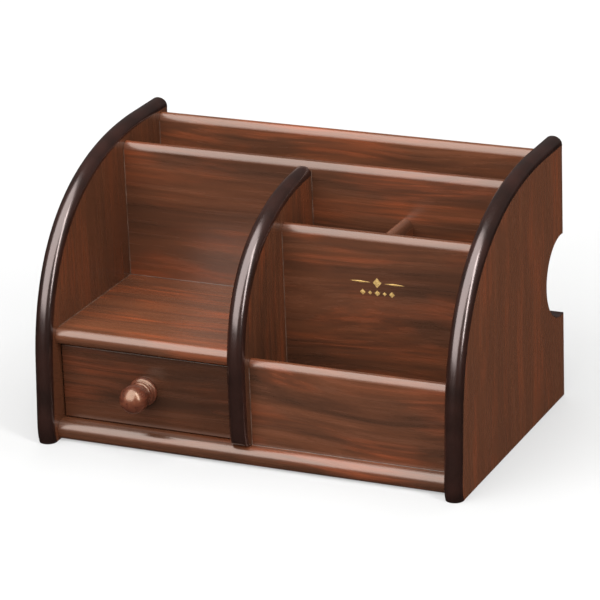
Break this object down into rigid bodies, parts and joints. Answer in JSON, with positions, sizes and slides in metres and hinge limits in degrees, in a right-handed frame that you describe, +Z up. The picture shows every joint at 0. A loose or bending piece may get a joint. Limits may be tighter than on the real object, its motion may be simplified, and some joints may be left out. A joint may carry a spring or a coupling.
{
  "type": "desk organizer",
  "caption": "Wooden desktop organizer with arched end panels, a slide-out drawer with a turned knob under a shelf, open pen and note pockets, and a letter slot along the back.",
  "frame": {"origin": "middle of the bottom of the bounding box, on the surface that the organizer stands on", "axes": "+X to the right as seen from the drawer side, +Y from the drawer side to the back, +Z up"},
  "size_m": [0.32, 0.2108, 0.1945],
  "materials": {
    "film_board": "walnut-grain film on fibreboard, satin, with near-black gloss edges on the arched panels",
    "drawer_film": "walnut-grain film on fibreboard, satin",
    "drawer_box": "bare thin plywood, matt",
    "turned_knob": "turned hardwood, stained red-brown, gloss lacquer",
    "beech_dowel": "plain beech",
    "zinc_steel": "zinc plated"
  },
  "bodies": {
    "carcass": {"base_board": "film_board", "centre_divider": "film_board", "dowel_divider_back_1": "beech_dowel", "dowel_divider_back_2": "beech_dowel", "dowel_divider_left_drawer_shelf_1": "beech_dowel", "dowel_divider_left_drawer_shelf_2": "beech_dowel", "dowel_divider_right_front_lip_1": "beech_dowel", "dowel_divider_right_mid_1": "beech_dowel", "dowel_divider_right_mid_2": "beech_dowel", "dowel_left_base_1": "beech_dowel", "dowel_left_base_2": "beech_dowel", "dowel_left_drawer_shelf_1": "beech_dowel", "dowel_left_drawer_shelf_2": "beech_dowel", "dowel_left_partition_1": "beech_dowel", "dowel_left_partition_2": "beech_dowel", "dowel_left_rear_1": "beech_dowel", "dowel_left_rear_2": "beech_dowel", "dowel_right_base_1": "beech_dowel", "dowel_right_base_2": "beech_dowel", "dowel_right_front_lip_1": "beech_dowel", "dowel_right_mid_1": "beech_dowel", "dowel_right_mid_2": "beech_dowel", "dowel_right_partition_1": "beech_dowel", "dowel_right_partition_2": "beech_dowel", "dowel_right_rear_1": "beech_dowel", "dowel_right_rear_2": "beech_dowel", "drawer_shelf": "film_board", "front_lip_panel": "film_board", "left_end_panel": "film_board", "mid_panel": "film_board", "partition_panel": "film_board", "pen_divider": "film_board", "rear_panel": "film_board", "right_end_panel": "film_board", "screw_base_to_centre_divider_1": "zinc_steel", "screw_base_to_centre_divider_2": "zinc_steel", "screw_base_to_front_lip_1": "zinc_steel", "screw_base_to_front_lip_2": "zinc_steel", "screw_base_to_mid_1": "zinc_steel", "screw_base_to_partition_1": "zinc_steel", "screw_base_to_partition_2": "zinc_steel", "screw_base_to_pen_divider_1": "zinc_steel", "screw_base_to_rear_1": "zinc_steel", "screw_base_to_rear_2": "zinc_steel"},
    "drawer": {"brad_left_back_1": "zinc_steel", "brad_left_back_2": "zinc_steel", "brad_left_front_1": "zinc_steel", "brad_left_front_2": "zinc_steel", "brad_right_back_1": "zinc_steel", "brad_right_back_2": "zinc_steel", "brad_right_front_1": "zinc_steel", "brad_right_front_2": "zinc_steel", "drawer_back": "drawer_box", "drawer_bottom": "drawer_box", "drawer_front": "drawer_film", "drawer_knob": "turned_knob", "drawer_left_side": "drawer_box", "drawer_right_side": "drawer_box", "knob_screw": "zinc_steel"}
  },
  "joints": [
    {"name": "drawer_slide", "type": "slide", "parent": "carcass", "child": "drawer", "axis": [0, -1, 0], "range_m": [0, 0.095]}
  ]
}
